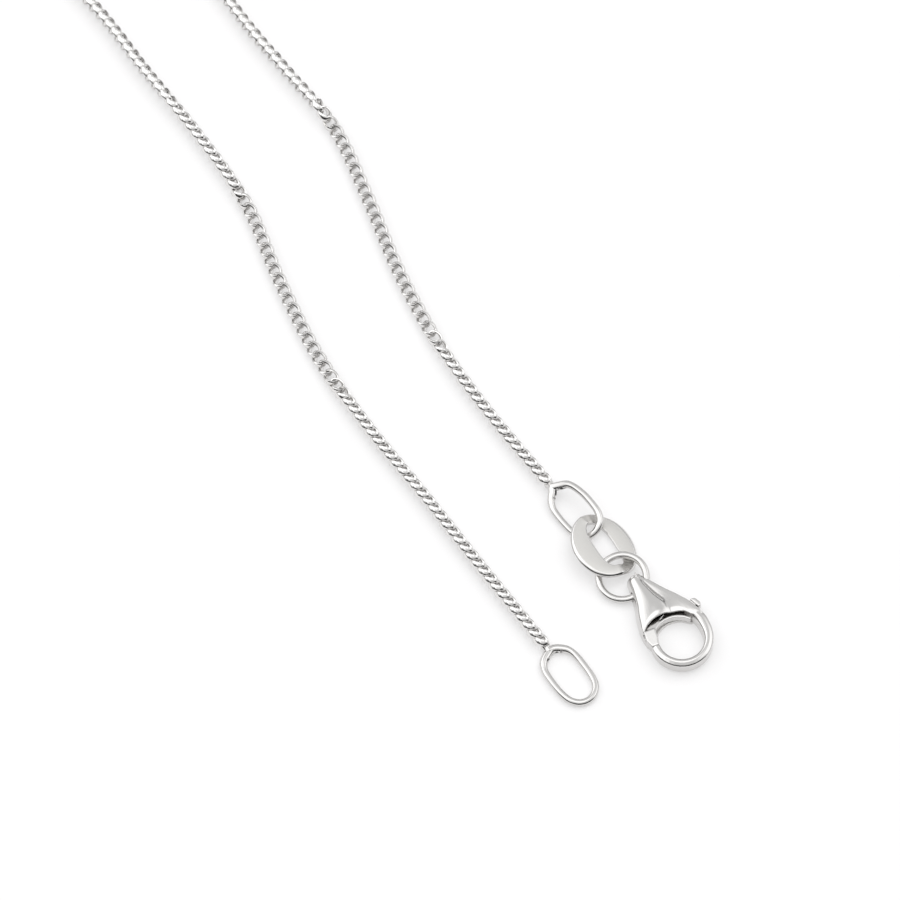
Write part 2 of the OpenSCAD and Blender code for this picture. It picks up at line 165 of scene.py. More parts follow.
# Edge of the body over the opening, from the gate's side to the hook's: across and along,
# in mm from the middle of the opening. Then how far back it rolls in and how deep, in mm, the
# radius of the floor's edge as a share of the opening's, and the heights, as shares of the
# body's, between which the edge goes from the floor's to the lip's and between which it rolls.
LIP = [(-2.90, -2.12), (-2.50, -2.22), (-1.90, -2.56), (-1.31, -2.75), (-0.23, -2.77),
       (0.68, -2.54), (1.56, -2.10), (2.05, -1.30), (2.20, -0.80)]
LIP_ROLL = 0.55
LIP_DROP = 0.14
FLOOR_OPENING = 1.14
LIP_RISE = (0.15, 0.6)
ROLL_RISE = (0.7, 0.9)

# Bar of the hook: angle round the opening in degrees, inner radius as a share of the
# opening's, width as a share of the bar's
HOOK = [(-104, 1.00, 0.95), (-91, 1.00, 1.00), (0, 1.00, 1.00), (45, 1.00, 1.02),
        (70, 1.01, 1.10), (90, 1.04, 1.18), (108, 1.12, 1.28), (126, 1.22, 1.30),
        (142, 1.30, 1.30)]

# Section of the hook's bar: outward as a share of its width, up as a share of its height,
# and how much of each neighbouring edge is rounded off
HOOK_SECTION = [(0.20, 0.00, 0.3), (0.80, 0.00, 0.3), (1.00, 0.20, 0.3), (0.995, 0.80, 0.3),
                (0.90, 0.875, 0.5), (0.50, 1.01, 0.8), (0.14, 0.93, 0.8), (0.00, 0.66, 0.6),
                (0.00, 0.15, 0.4)]

# Pivot and thumb knob of the lever, as shares of the opening's radius from its middle
PIVOT = Vector((-2.05, -0.44))
KNOB = Vector((-1.25, 1.6))

# Outlines of the lever's gate and knob: along, across and radius, in mm from the middle of the
# opening, and of its arm: along and across
GATE = [(-1.35, -1.62, 0.6), (-2.16, -1.42, 0.1), (-2.36, -2.50, 0.1), (-1.35, -2.76, 0.4),
        (-0.70, -2.66, 0.1), (-0.55, -1.98, 0.06)]
BEAN = [(-3.04, 2.78, 0.12), (-1.97, 3.04, 0.1), (-1.82, 3.32, 0.2), (-2.22, 3.50, 0.3),
        (-2.87, 3.32, 0.3)]
ARM = [(-2.15, -1.5), (-2.62, -0.6), (-2.9, 0.1), (-4.1, -0.3), (-4.2, -1.35), (-2.9, -2.05),
       (-2.25, -2.45)]

# First and last turn in degrees and radius of the lever's arch, in mm, the width of its strips,
# the radius of its boss, the fall of its gate and knob, and the way that both fall
ARCH = ((215, 2.62), (125, 2.305))
ARCH_WIDTH = 0.3
TRIGGER_WIDTH = 0.6
BOSS_RADIUS = 0.62
GATE_FALL = 0.05
KNOB_FALL = 0.03
FALL_WAY = (0.84, -0.54)

# Lower level, upper level and edge radius of the lever's solids, in mm
GATE_LEVELS = (0.18, 1.40, 0.10)
ARM_LEVELS = (0.34, 1.12, 0.05)
TRIGGER_LEVELS = (0.40, 1.06, 0.05)
KNOB_LEVELS = (0.36, 1.16, 0.14)
SLOT_LEVELS = (0.25, 1.21)

# Fine grain of each finish: change of roughness, scale per metre and depth in metres
GRAINS = {
    "bright_silver": (0.05, 9000.0, 0.000002),
    "matt_silver": (0.12, 7000.0, 0.000012),
    "lit_chain_silver": (0.06, 9000.0, 0.000003),
}

# Limits between which the painted shade and duller finish on the body's hollow inside fade: how the
# roof, floor and walls face, their levels in mm, and how far from the opening's middle and how far
# back they lie, in mm
ROOF_FACES = (0.2, 0.5)
ROOF_LEVELS = (0.5, 0.8)
FLOOR_FACES = (0.3, 0.6)
FLOOR_LEVELS = (0.35, 0.6)
WALL_FACES = (0.3, 0.6)
WALL_LEVELS = (0.2, 0.3)
INSIDE_RADII = (2.2, 2.7)
INSIDE_BACK = (0.6, 1.2)

# The painted dark line, as shade, along the groove beside the body's ridge: how far its middle lies
# from the ridge's foot, the limits between which it fades aside, in height and where it is shallow, in
# mm, and how dark and dull it is
GROOVE_ASIDE = 0.03
GROOVE_FADES = (0.03, 0.09)
GROOVE_LEVELS = (0.9, 1.1)
GROOVE_DEPTHS = (0.0, 0.05)
GROOVE_SHADE_AND_DULLING = 0.6

# Clouds in every finish: scale per metre, how much they darken, the darker tone as a share of
# the colour, and change of roughness
CLOUD_SCALE = 900.0
CLOUD_SHARE = 0.35
CLOUD_TONE = 0.86
CLOUD_ROUGHNESS = 0.04

# Tone of the marks as a share of the stain's, how much less metallic and how much rougher they
# are, how much rougher the recesses with painted shade are, and how strongly the grain shows
MARK_TONE = 0.1
MARK_DULLING = 0.8
MARK_ROUGHNESS = 0.4
RECESS_ROUGHNESS = 0.3
GRAIN_STRENGTH = 0.5

# Places of the lamps from the target, their sizes, and half the floor's side, in metres
KEY_AT = (0.30, 0.42, 0.72)
KEY_SIZE = 0.7
FILL_AT = (0.0, 0.0, 1.1)
FILL_SIZE = 2.4
FLOOR_REACH = 3.0

# How far a direction points left, right, up or to the front, from 0 to 1, where each part of
# the sky begins and where it is whole
SKY_LEFT = (0.2, 0.7)
SKY_RIGHT = (0.4, 0.8)
SKY_TOP = (0.88, 0.97)
SKY_FRONT = (0.0, 0.45)
SKY_FRONT_TOP = (0.45, 0.75)
SKY_LOW = (0.05, 0.40)


def turned(place, turn, roll=0.0, lift=0.0):
    """Matrix that puts a fitting at a place, turned about +Z and rolled about its length."""
    return (Matrix.Translation(place + UP * lift) @ Matrix.Rotation(math.radians(turn), 4, "Z")
            @ Matrix.Rotation(math.radians(roll), 4, "X"))


def jump_ring_place(rings):
    """Matrix that puts the jump ring in its place."""
    return (Matrix.Translation(JUMP_AT) @ Matrix.Rotation(math.radians(JUMP_RISE_TURN), 4, "Z")
            @ Matrix.Rotation(-rings.jump_tilt, 4, "Y"))


def polar(turn, radius):
    """Point at a turn in radians and a distance from the origin."""
    return Vector((math.cos(turn), math.sin(turn))) * radius


def circle(radius, count):
    """Points of a circle about the origin."""
    return [polar(2 * math.pi * k / count, radius).to_3d() for k in range(count)]


def curve(points, steps):
    """Smooth curve through points of any number of coordinates, as in the CAD."""
    points = np.array(points, float)
    padded = np.vstack([2 * points[0] - points[1], points, 2 * points[-1] - points[-2]])
    made = []
    for a, b, c, d in zip(padded, padded[1:], padded[2:], padded[3:]):
        for t in np.arange(steps) / steps:
            made.append((2 * b + (c - a) * t + (2 * a - 5 * b + 4 * c - d) * t ** 2
                         + (3 * b - a - 3 * c + d) * t ** 3) / 2)
    return np.array(made + [points[-1]])


def smooth_step(low, high, value):
    """0 at low and below, 1 at high and above, smooth between."""
    t = min(1.0, max(0.0, (value - low) / (high - low)))
    return t * t * (3 - 2 * t)


def softened(corners, steps):
    """Closed outline with its corners rounded off: each is across, up, share of its edges."""
    made = []
    for i, (x, y, share) in enumerate(corners):
        corner = Vector((x, y))
        before = Vector(corners[i - 1][:2])
        after = Vector(corners[(i + 1) % len(corners)][:2])
        start = corner.lerp(before, share * 0.5)
        end = corner.lerp(after, share * 0.5)
        for k in range(steps + 1 if share else 1):
            t = k / steps
            made.append(start.lerp(corner, t).lerp(corner.lerp(end, t), t))
    return made


def round_corners(corners, steps):
    """Closed outline with true arcs at its corners: each is x, y, radius."""
    made = []
    for i, (x, y, radius) in enumerate(corners):
        corner = Vector((x, y))
        back = (Vector(corners[i - 1][:2]) - corner).normalized()
        on = (Vector(corners[(i + 1) % len(corners)][:2]) - corner).normalized()
        half = back.angle(on) / 2
        middle = corner + (back + on).normalized() * radius / math.sin(half)
        start = corner + back * radius / math.tan(half) - middle
        end = corner + on * radius / math.tan(half) - middle
        sweep = math.pi - 2 * half
        for k in range(steps + 1):
            a = sweep * k / steps
            point = (start * math.sin(sweep - a) + end * math.sin(a)) / math.sin(sweep)
            made.append(middle + point)
    return made


def evenly(points, spacing, closed):
    """Points a spacing apart along a path."""
    path = list(points) + ([points[0]] if closed else [])
    lengths = np.array([0.0] + [(b - a).length for a, b in zip(path, path[1:])]).cumsum()
    count = max(3, round(lengths[-1] / spacing))
    values = np.array([tuple(p) for p in path])
    at = np.linspace(0, lengths[-1], count, endpoint=not closed)
    return [Vector(v) for v in np.stack([np.interp(at, lengths, c) for c in values.T], 1)]


def tube(path, radii, sides, closed):
    """Rows of points round a wire that follows a path, with a radius at each point."""
    rows = []
    last = len(path) - 1
    for i, p in enumerate(path):
        before = path[i - 1] if closed or i else p
        after = path[(i + 1) % len(path)] if closed or i < last else p
        along = (after - before).normalized()
        aside = along.cross(UP).normalized()
        over = aside.cross(along)
        angles = [2 * math.pi * k / sides for k in range(sides)]
        rows.append([p + (aside * math.cos(a) + over * math.sin(a)) * radii[i] for a in angles])
    return rows


def skin(rows, closed=False, caps=True):
    """Points and faces of a surface through rows of as many points each."""
    wide = len(rows[0])
    spans = len(rows) if closed else len(rows) - 1
    points = [tuple(p) for row in rows for p in row]
    faces = []
    for i in range(spans):
        j = (i + 1) % len(rows)
        for k in range(wide):
            m = (k + 1) % wide
            faces.append((i * wide + k, i * wide + m, j * wide + m, j * wide + k))
    if caps and not closed:
        faces.append(tuple(reversed(range(wide))))
        faces.append(tuple((len(rows) - 1) * wide + k for k in range(wide)))
    return points, faces


def prism(outline, low, high, edge, steps=3):
    """Rows of an upright solid over an outline, with rounded upper and lower edges."""
    count = len(outline)
    inward = []
    for i, p in enumerate(outline):
        along = (outline[(i + 1) % count] - outline[i - 1]).normalized()
        inward.append(Vector((-along.y, along.x)))
    rows = []
    for side, level in ((-1, low), (1, high)):
        ring = []
        for k in range(steps + 1):
            a = math.pi / 2 * k / steps
            inset, drop = edge * (1 - math.cos(a)), edge * (1 - math.sin(a))
            ring.append([(p.x + n.x * inset, p.y + n.y * inset, level - side * drop)
                         for p, n in zip(outline, inward)])
        rows += ring[::-1] if side < 0 else ring
    return rows


def mesh_object(name, shells, matrix=None):
    """An object of one mesh that holds shells of points and faces."""
    points, faces = [], []
    for shell_points, shell_faces in shells:
        faces += [tuple(len(points) + k for k in face) for face in shell_faces]
        points += shell_points
    mesh = bpy.data.meshes.new(name)
    mesh.from_pydata(points, [], faces)
    if matrix is not None:
        mesh.transform(matrix)
    work = bmesh.new()
    work.from_mesh(mesh)
    bmesh.ops.recalc_face_normals(work, faces=work.faces)
    work.to_mesh(mesh)
    work.free()
    mesh.update()
    made = bpy.data.objects.new(name, mesh)
    bpy.context.scene.collection.objects.link(made)
    return made


def shade(obj, degrees):
    """Smooth shading, with edges sharp beyond an angle."""
    obj.data.shade_smooth()
    obj.data.set_sharp_from_angle(angle=math.radians(degrees))


def apply_modifiers(obj, *modifiers):
    """Gives an object modifiers, each a type and its settings, and applies them."""
    for kind, settings in modifiers:
        modifier = obj.modifiers.new(kind.lower(), kind)
        for name, value in settings.items():
            setattr(modifier, name, value)
    graph = bpy.context.evaluated_depsgraph_get()
    made = bpy.data.meshes.new_from_object(obj.evaluated_get(graph))
    old = obj.data
    obj.modifiers.clear()
    obj.data = made
    bpy.data.meshes.remove(old)
    made.name = obj.name


def carve(obj, *cutters):
    """Cuts the shapes of other objects out of one, and removes them."""
    for cutter in cutters:
        apply_modifiers(obj, ("BOOLEAN", {"operation": "DIFFERENCE", "solver": "EXACT",
                                          "object": cutter}))
        mesh = cutter.data
        bpy.data.objects.remove(cutter)
        bpy.data.meshes.remove(mesh)


def cast(obj, grain, rounds, matrix):
    """Fuses the overlapping solids of an object in mm into one casting with soft edges."""
    apply_modifiers(obj, ("REMESH", {"mode": "VOXEL", "voxel_size": grain}),
                    ("SMOOTH", {"factor": 0.5, "iterations": rounds}))
    obj.data.transform(matrix @ Matrix.Scale(1 / PER_METRE, 4))
    obj.data.shade_smooth()


def store(obj, name, values):
    """Keeps a number for each point of an object's mesh, for its material to read."""
    kept = obj.data.attributes.new(name, "FLOAT", "POINT")
    kept.data.foreach_set("value", np.array(values, np.float32))


def place(obj, body, slot, materials, *nodes):
    """Gives a piece its materials, and has it stand for CAD nodes and ride on a body."""
    for material in materials:
        obj.data.materials.append(material)
    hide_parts(*nodes)
    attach(obj, body)


class Value:
    """A socket that varies over a surface. Arithmetic on it adds Math nodes."""

    def __init__(self, nodes, socket):
        self.nodes = nodes
        self.socket = socket

    def maths(self, operation, first, second):
        """Adds a Math node."""
        return self.nodes.add("ShaderNodeMath", {"operation": operation}, {0: first, 1: second})

    def __add__(self, other):
        return self.maths("ADD", self, other)

    __radd__ = __add__

    def __sub__(self, other):
        return self.maths("SUBTRACT", self, other)

    def __rsub__(self, other):
        return self.maths("SUBTRACT", other, self)

    def __mul__(self, other):
        return self.maths("MULTIPLY", self, other)

    __rmul__ = __mul__

    def clamped(self, low, high):
        """0 at low and below, 1 at high and above, smooth between."""
        return self.nodes.add("ShaderNodeMapRange", {"interpolation_type": "SMOOTHSTEP"},
                              {"Value": self, "From Min": low, "From Max": high})


class Nodes:
    """The nodes of a material or of the world."""

    def __init__(self, tree):
        self.tree = tree
        tree.nodes.clear()

    def add(self, kind, settings=None, inputs=None, output=0):
        """Adds a node with its settings, then its sockets' values or links."""
        node = self.tree.nodes.new(kind)
        for name, value in (settings or {}).items():
            setattr(node, name, value)
        for name, value in (inputs or {}).items():
            if isinstance(value, Value):
                self.tree.links.new(value.socket, node.inputs[name])
            else:
                node.inputs[name].default_value = value
        return Value(self, node.outputs[output]) if node.outputs else None

    def mix(self, factor, first, second):
        """Mixes two colours."""
        return self.add("ShaderNodeMix", {"data_type": "RGBA"}, {0: factor, 6: first, 7: second},
                        output=2)

    def noise(self, where, scale, detail=2.0, roughness=0.5):
        """Noise of a scale, per metre, at places on the surface."""
        return self.add("ShaderNodeTexNoise", None, {"Vector": where, "Scale": scale,
                        "Detail": detail, "Roughness": roughness})

    def places(self):
        """Places on the surface, in metres."""
        return self.add("ShaderNodeTexCoord", output=3)

    def kept(self, name):
        """A number kept on the mesh."""
        return self.add("ShaderNodeAttribute", {"attribute_name": name}, output=2)


def opaque(colour):
    """A colour with its alpha."""
    return (*colour, 1.0)


def metal(name, colour, stain_and_shade, roughness, grain, grain_scale, grain_depth):
    """A silver finish with stains where the mesh keeps marks, painted shade and more roughness where
    it keeps recesses, and a fine grain.
    """
    material = bpy.data.materials.new(name)
    material.use_nodes = True
    nodes = Nodes(material.node_tree)
    where = nodes.places()
    fine = nodes.noise(where, grain_scale, detail=3.0, roughness=0.6)
    broad = nodes.noise(where, CLOUD_SCALE)
    marks = nodes.kept("mark")
    shade_and_dulling = nodes.kept("shade_and_dulling")
    darker = opaque([c * CLOUD_TONE for c in colour])
    bare = nodes.mix(broad * CLOUD_SHARE, opaque(colour), darker)
    # Painted shade: the recesses are darkened towards the stain colour, as the shade that falls there
    shaded_colour = nodes.mix(shade_and_dulling, bare, opaque(stain_and_shade))
    base = nodes.mix(marks, shaded_colour, opaque([c * MARK_TONE for c in stain_and_shade]))
    rough = fine * grain + broad * CLOUD_ROUGHNESS + (roughness - grain / 2)
    rough = rough + shade_and_dulling * RECESS_ROUGHNESS + marks * MARK_ROUGHNESS
    bump = nodes.add("ShaderNodeBump", None, {"Strength": GRAIN_STRENGTH, "Distance": grain_depth,
                                              "Height": fine})
    shader = nodes.add("ShaderNodeBsdfPrincipled", None,
                       {"Base Color": base, "Metallic": 1.0 - marks * MARK_DULLING,
                        "Roughness": rough, "Normal": bump})
    nodes.add("ShaderNodeOutputMaterial", None, {"Surface": shader})
    return material


def finishes():
    """The necklace's metals by name, made once."""
    if "bright_silver" not in bpy.data.materials:
        look = bpy.context.scene.necklace_finish
        for name, tint, roughness in (("bright_silver", look.silver, look.polish),
                                      ("matt_silver", look.satin, look.satin_roughness),
                                      ("lit_chain_silver", look.chain, look.chain_polish)):
            metal(name, tint, look.stain_and_shade, roughness, *GRAINS[name])
    return bpy.data.materials


def length(name, default, description):
    """A size in metres."""
    return FloatProperty(name=name, description=description, default=default, min=0.0,
                         unit="LENGTH", precision=6)


def angle(name, default, description):
    """An angle, given in degrees."""
    return FloatProperty(name=name, description=description, default=math.radians(default),
                         subtype="ANGLE")


def share(name, default, description):
    """A share from 0 to 1."""
    return FloatProperty(name=name, description=description, default=default, min=0.0, max=1.0,
                         subtype="FACTOR")


def colour(name, default, description):
    """A colour."""
    return FloatVectorProperty(name=name, description=description, default=default, size=3,
                               min=0.0, max=1.0, subtype="COLOR")


class NecklaceChain(bpy.types.PropertyGroup):
    """Sizes of the curb chain."""

    width: length("Width", 0.00138, "Width of the chain")
    wire: length("Wire", 0.00029, "Thickness of a link's wire")
    depth: length("Depth", 0.00060, "Height of a link's wire, through the chain")
    pitch: length("Pitch", 0.00112, "Distance from one link to the next in a taut chain")
    twist: angle("Twist", -36.0, "How far each end of a link is twisted")
    fullness: FloatProperty(name="Fullness", description="How square a link's outline is",
                            default=2.1, min=2.0, max=4.0)
    # The next two settings paint shade, with more roughness, on the parts of the links near the
    # chain's middle, where they overlap: how far it reaches and how strong it is
    inset: length("Inset", 0.0005, "How far the first link's middle lies from the chain's end")
    core: length("Core", 0.00015, "How far from the chain's middle the links are unpolished")
    inner_shade_and_dulling: share("Dullness", 0.55, "How dull the unpolished part of a link is")
    sides: IntProperty(name="Sides", description="Sides of the wire", default=12, min=5, max=16)
    steps: IntProperty(name="Steps", description="Steps round a link", default=32, min=12, max=60)
    unrest: angle("Unrest", 4.0, "How far one link's roll may differ from the next")


class NecklaceRings(bpy.types.PropertyGroup):
    """Sizes of the end rings and the jump ring."""

    wire: length("Wire", 0.00066, "Thickness of the rings' wire")
    width: length("Width", 0.0031, "Width of an end ring, between wire centres")
    span: length("Length", 0.0060, "Length of an end ring, between wire centres")
    roll: angle("Roll", 22.0, "Roll of the clasp side's end ring")
    swell: share("Swell", 0.22, "How much thicker the wire is at the solder")
    solder_height: length("Solder height", 0.0005, "Height of the solder at the chain's end")
    grip: length("Grip", 0.00022, "How far the solder reaches into the chain")
    jump_outer: length("Jump ring", 0.00492, "Outer diameter of the jump ring")
    jump_tilt: angle("Jump ring tilt", 8.0, "Tilt of the jump ring")


class NecklaceTag(bpy.types.PropertyGroup):
    """Sizes of the flat oval link."""

    span: length("Length", 0.0069, "Length of the tag link")
    width: length("Width", 0.00515, "Width of the tag link")
    thickness: length("Thickness", 0.0005, "Thickness of the tag link")
    hole_span: length("Hole length", 0.0049, "Length of the hole")
    hole_width: length("Hole width", 0.0020, "Width of the hole")
    raised: length("Raised arm", 0.00115, "Height of the raised arm's underside")
    low: length("Lower arm", 0.00005, "Height of the lower arm's underside")


class NecklaceClasp(bpy.types.PropertyGroup):
    """Sizes of the trigger clasp."""

    reach: length("Reach", 0.0074, "From the clasp's tip to the middle of the hook's opening")
    width: length("Width", 0.0057, "Width of the body")
    height: length("Height", 0.0019, "Height of the body")
    wall: length("Wall", 0.0003, "Wall of the hollow body")
    opening: length("Opening", 0.0039, "Width of the opening inside the hook")
    bar: length("Bar", 0.00086, "Width of the hook's bar")
    bar_height: length("Bar height", 0.00155, "Height of the hook's bar")
    room: length("Room", 0.00011, "Room round the jump ring in the clasp's eye")
    grain: length("Grain", 0.00005, "Finest detail of the cast pieces")


class NecklaceFinish(bpy.types.PropertyGroup):
    """Colours and polish of the metals."""

    silver: colour("Silver", (0.70, 0.69, 0.68), "Colour of the polished metal")
    # The chain's silver is the same metal painted lighter, as painted light for the brighter light on
    # the chain
    chain: colour("Chain silver", (0.80, 0.79, 0.78), "Colour of the chain's metal")
    satin: colour("Satin silver", (0.68, 0.67, 0.65), "Colour of the satin metal")
    # The stain colour also serves as the painted shade of the recesses
    stain_and_shade: colour("Stain", (0.16, 0.15, 0.14), "Colour of unpolished recesses")
    polish: share("Polish", 0.13, "Roughness of the polished metal")
    chain_polish: share("Chain polish", 0.14, "Roughness of the chain")
    satin_roughness: share("Satin", 0.38, "Roughness of the satin metal")


class NecklaceStage(bpy.types.PropertyGroup):
    """Camera, floor and light."""

    target: FloatVectorProperty(name="Target", description="Where the camera looks",
                                default=(0.0432, -0.0616, 0.0), size=3, subtype="TRANSLATION")
    elevation: angle("Elevation", 62.0, "Height of the camera over the surface")
    distance: length("Distance", 0.700, "Distance of the camera")
    lens: FloatProperty(name="Lens", description="Focal length in mm", default=311.1)
    floor: colour("Floor", (0.36, 0.36, 0.365), "Colour of the floor")
    glow: colour("Glow", (0.494, 0.489, 0.485), "Light from the lit table under the floor")
    sky: FloatProperty(name="Sky", description="Strength of the light all round", default=1.0)
    plain: share("Plain sky", 0.8, "Light of the plain sky")
    left: share("Left", 1.0, "Light added by the sky on the left")
    right: share("Right", 0.7, "Light added by the sky on the right")
    top: share("Top", 0.8, "Light added by the sky overhead")
    dark_front: share("Dark front", 0.95, "How dark the sky is behind the camera")
    dark_low: share("Dark horizon", 0.8, "How dark the sky is near the surface")
    key: FloatProperty(name="Key", description="Power of the soft lamp", default=2.5,
                       unit="POWER")
    fill: FloatProperty(name="Fill", description="Power of the broad lamp overhead",
                        default=6.0, unit="POWER")


class StageOperator(bpy.types.Operator):
    """Makes the camera, the pale floor and the soft studio light"""

    bl_idname = "necklace.stage"
    bl_label = "Camera, floor and light"

    def camera(self, context, look):
        """The camera, which looks down at the target from the front."""
        target = Vector(look.target)
        data = bpy.data.cameras.new("camera")
        data.lens = look.lens
        data.sensor_width = 36.0
        data.clip_start = 0.01
        camera = bpy.data.objects.new("camera", data)
        context.scene.collection.objects.link(camera)
        back = Vector((0.0, -math.cos(look.elevation), math.sin(look.elevation)))
        camera.location = target + back * look.distance
        camera.rotation_euler = (math.pi / 2 - look.elevation, 0.0, 0.0)
        context.scene.camera = camera

    def floor(self, look):
        """The pale floor, which glows like a lit table."""
        corners = [(x * FLOOR_REACH, y * FLOOR_REACH, 0)
                   for x, y in ((-1, -1), (1, -1), (1, 1), (-1, 1))]
        floor = mesh_object("floor", [(corners, [(0, 1, 2, 3)])])
        material = bpy.data.materials.new("floor")
        material.use_nodes = True
        nodes = Nodes(material.node_tree)
        scale, darkening, tone = 40.0, 0.02, 0.9
        cloud = nodes.noise(nodes.places(), scale)
        base = nodes.mix(cloud * darkening, opaque(look.floor),
                         opaque([c * tone for c in look.floor]))
        shader = nodes.add("ShaderNodeBsdfPrincipled", {},
                           {"Base Color": base, "Roughness": 0.8, "Specular IOR Level": 0.1,
                            "Emission Color": opaque(look.glow), "Emission Strength": 1.0})
        nodes.add("ShaderNodeOutputMaterial", None, {"Surface": shader})
        floor.data.materials.append(material)

    def sky(self, context, look):
        """The light all round, brighter at the sides and overhead."""
        world = bpy.data.worlds.new("studio")
        world.use_nodes = True
        context.scene.world = world
        nodes = Nodes(world.node_tree)
        way = nodes.add("ShaderNodeTexCoord")
        x, y, z = (nodes.add("ShaderNodeSeparateXYZ", None, {0: way}, output=k) for k in range(3))
        front = (0.0 - y).clamped(*SKY_FRONT) * (1.0 - z.clamped(*SKY_FRONT_TOP))
        low = 1.0 - z.clamped(*SKY_LOW)
        light = look.plain + (0.0 - x).clamped(*SKY_LEFT) * look.left
        light = light + x.clamped(*SKY_RIGHT) * look.right + z.clamped(*SKY_TOP) * look.top
        light = light * (1.0 - front * look.dark_front) * (1.0 - low * look.dark_low)
        background = nodes.add("ShaderNodeBackground", None,
                               {"Color": (1.0, 1.0, 1.0, 1.0), "Strength": light * look.sky})
        nodes.add("ShaderNodeOutputWorld", None, {"Surface": background})

    def lamp(self, context, look, name, power, size, way):
        """A round lamp that faces the target and isn't mirrored in the metal."""
        data = bpy.data.lights.new(name, "AREA")
        data.shape = "DISK"
        data.size = size
        data.energy = power
        lamp = bpy.data.objects.new(name, data)
        lamp.visible_glossy = False
        context.scene.collection.objects.link(lamp)
        target = Vector(look.target)
        lamp.location = target + Vector(way)
        lamp.rotation_euler = (target - lamp.location).to_track_quat("-Z", "Y").to_euler()

    def execute(self, context):
        look = context.scene.necklace_stage
        self.camera(context, look)
        self.floor(look)
        self.sky(context, look)
        self.lamp(context, look, "key", look.key, KEY_SIZE, KEY_AT)
        self.lamp(context, look, "fill", look.fill, FILL_SIZE, FILL_AT)
        context.scene.view_settings.view_transform = "Standard"
        return {"FINISHED"}


class ChainOperator(bpy.types.Operator):
    """Makes the interlocked curb links of both halves of the chain"""

    bl_idname = "necklace.chain"
    bl_label = "Curb links"

    def link(self, size):
        """Points of one link about the origin, its length along +X."""
        t = np.linspace(0, 2 * np.pi, size.steps, endpoint=False)
        long = (size.pitch + size.wire) / 2
        half = (size.width - size.wire) / 2
        c, s = (np.sign(f) * np.abs(f) ** (2 / size.fullness) for f in (np.cos(t), np.sin(t)))
        twist = size.twist * c
        centre = np.stack([long * c, half * s * np.cos(twist), half * s * np.sin(twist)], 1)
        along = np.roll(centre, -1, 0) - np.roll(centre, 1, 0)
        along /= np.linalg.norm(along, axis=1)[:, None]
        flat = np.stack([0 * c, -np.sin(twist), np.cos(twist)], 1)
        aside = np.cross(along, flat)
        aside /= np.linalg.norm(aside, axis=1)[:, None]
        over = np.cross(aside, along)
        turn = (np.arange(size.sides) + 0.5) * 2 * np.pi / size.sides
        wide, tall = (np.sign(f) * np.abs(f) ** WIRE_POWER for f in (np.cos(turn), np.sin(turn)))
        points = (centre[:, None] + aside[:, None] * size.wire / 2 * wide[None, :, None]
                  + over[:, None] * size.depth / 2 * tall[None, :, None]).reshape(-1, 3)
        for degrees, reach in LINK_CUTS:
            normal = np.array([0, math.cos(math.radians(degrees)), math.sin(math.radians(degrees))])
            beyond = np.maximum(0, points @ normal - reach * size.width / 2)
            points -= beyond[:, None] * normal
        return points

    def middles(self, size, span):
        """Distances along the chain at which the links' middles lie."""
        at, _, shares, _ = zip(*LAY)
        made = [size.inset]
        while made[-1] < span - size.inset:
            made.append(made[-1] + size.pitch * np.interp(made[-1], at, shares))
        stretch = (span - 2 * size.inset) / (made[-1] - size.inset)
        return [size.inset + (s - size.inset) * stretch for s in made]

    def laid(self, link, s, along, unrest):
        """Points of a link as it lies at a distance along the chain, about its middle."""
        at, leans, _, tilts = zip(*LAY)
        roll = math.radians(np.interp(s, at, leans)) + unrest
        x = np.array([along[0], along[1], 0])
        y = np.array([-along[1], along[0], 0])
        z = np.array([0, 0, 1])
        aside = y * math.cos(roll) + z * math.sin(roll)
        over = z * math.cos(roll) - y * math.sin(roll)
        tilt = math.radians(np.interp(s, at, tilts))
        x, over = (x * math.cos(tilt) - over * math.sin(tilt),
                   over * math.cos(tilt) + x * math.sin(tilt))
        return link @ np.stack([x, aside, over])

    def execute(self, context):
        size = context.scene.necklace_chain
        path = curve(ROUTE, ROUTE_STEPS)
        run = np.concatenate([[0], np.linalg.norm(np.diff(path, axis=0), axis=1).cumsum()])
        meet = run[ROUTE_MEET * ROUTE_STEPS]
        link = self.link(size)
        faces = skin(link.reshape(size.steps, size.sides, 3), closed=True)[1]
        depth = np.linalg.norm(link[:, 1:], axis=1)
        # Painted shade, with more roughness, on the parts of each link near the chain's middle
        inner_link_shade = size.inner_shade_and_dulling * (1 - np.clip((depth - size.core) / size.core, 0, 1))
        chance = random.Random(SEED)
        halves = {"curb_links_plain_side": [], "curb_links_clasp_side": []}
        for s in self.middles(size, run[-1]):
            here, ahead, behind = (np.array([np.interp(s + step, run, c) for c in path.T])
                                   for step in (0, size.pitch / 2, -size.pitch / 2))
            along = (ahead - behind) / np.linalg.norm(ahead - behind)
            points = self.laid(link, s, along, chance.uniform(-1, 1) * size.unrest)
            points += np.array([*here, -points[:, 2].min()])
            side = "curb_links_plain_side" if s < meet else "curb_links_clasp_side"
            halves[side].append((points.tolist(), faces))
        for name, node in (("curb_links_plain_side", "chain_plain_side"),
                           ("curb_links_clasp_side", "chain_clasp_side")):
            links = mesh_object(name, halves[name])
            store(links, "shade_and_dulling", inner_link_shade.tolist() * len(halves[name]))
            shade(links, 40)
            place(links, "necklace", "polished_silver", [finishes()["lit_chain_silver"]], node)
        return {"FINISHED"}


